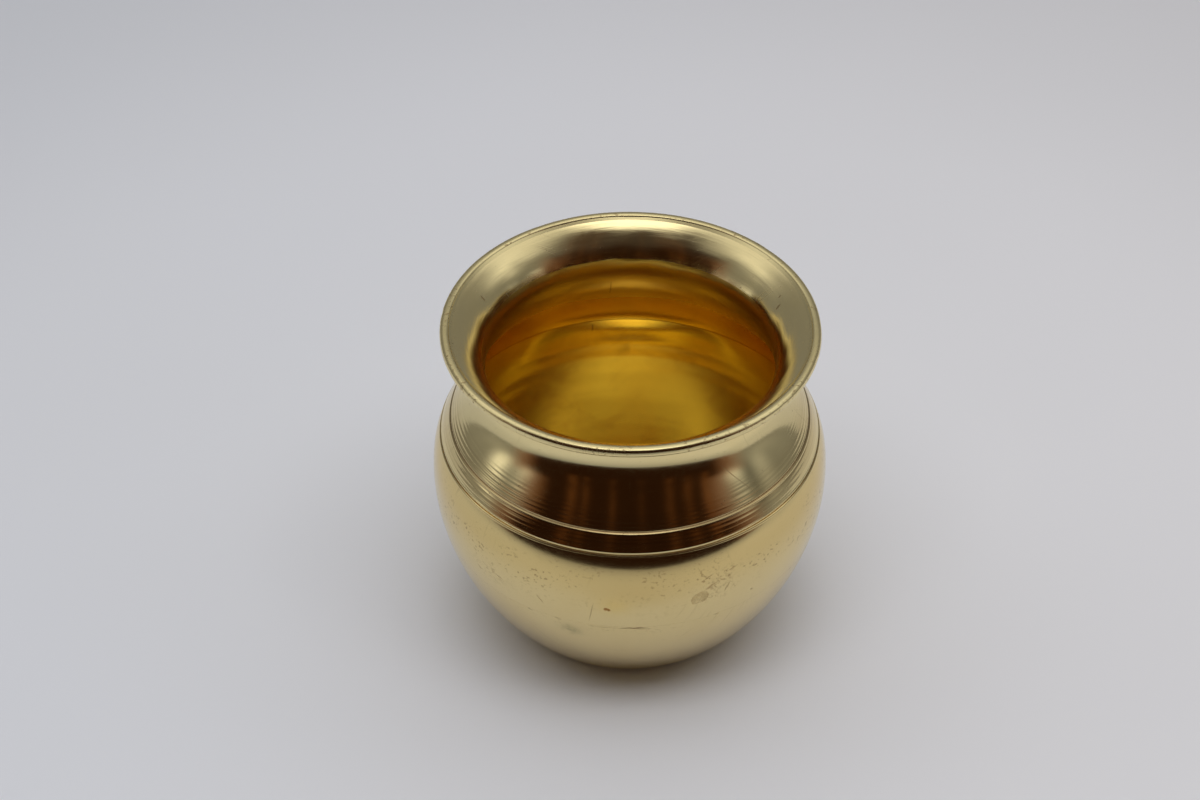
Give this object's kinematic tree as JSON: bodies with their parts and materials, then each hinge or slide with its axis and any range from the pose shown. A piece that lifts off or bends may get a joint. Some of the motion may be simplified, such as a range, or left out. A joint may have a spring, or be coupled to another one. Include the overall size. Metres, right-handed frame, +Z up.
{
  "type": "lota",
  "caption": "Small round-bellied brass lota with a waisted neck, flared lip with a round bead, two turned shoulder grooves and a flat base, for holding and pouring water.",
  "frame": {"origin": "centre of the flat base, on the surface it stands on", "axes": "+Z up along the axis of the pot, out of its mouth"},
  "size_m": [0.0956, 0.0956, 0.088],
  "materials": {
    "rim_ring": "polished, fine scratches and nicks along the bead",
    "rim_braze": "dull brazing metal in the crease",
    "neck_collar": "turned and polished, slightly wavy lip, fine turning lines on the lower neck, dull gold inside",
    "shoulder_braze": "dull brazing metal under the lower groove",
    "belly_shell": "polished, fine scratches and small stains, dull gold inside",
    "girth_braze": "flush brazed seam",
    "lower_bowl": "polished, scratches, pits and small stains, dull gold inside"
  },
  "bodies": {
    "root": {"rim_ring": "rim_ring", "rim_braze": "rim_braze", "neck_collar": "neck_collar", "shoulder_braze": "shoulder_braze", "belly_shell": "belly_shell", "girth_braze": "girth_braze", "lower_bowl": "lower_bowl"}
  },
  "joints": []
}
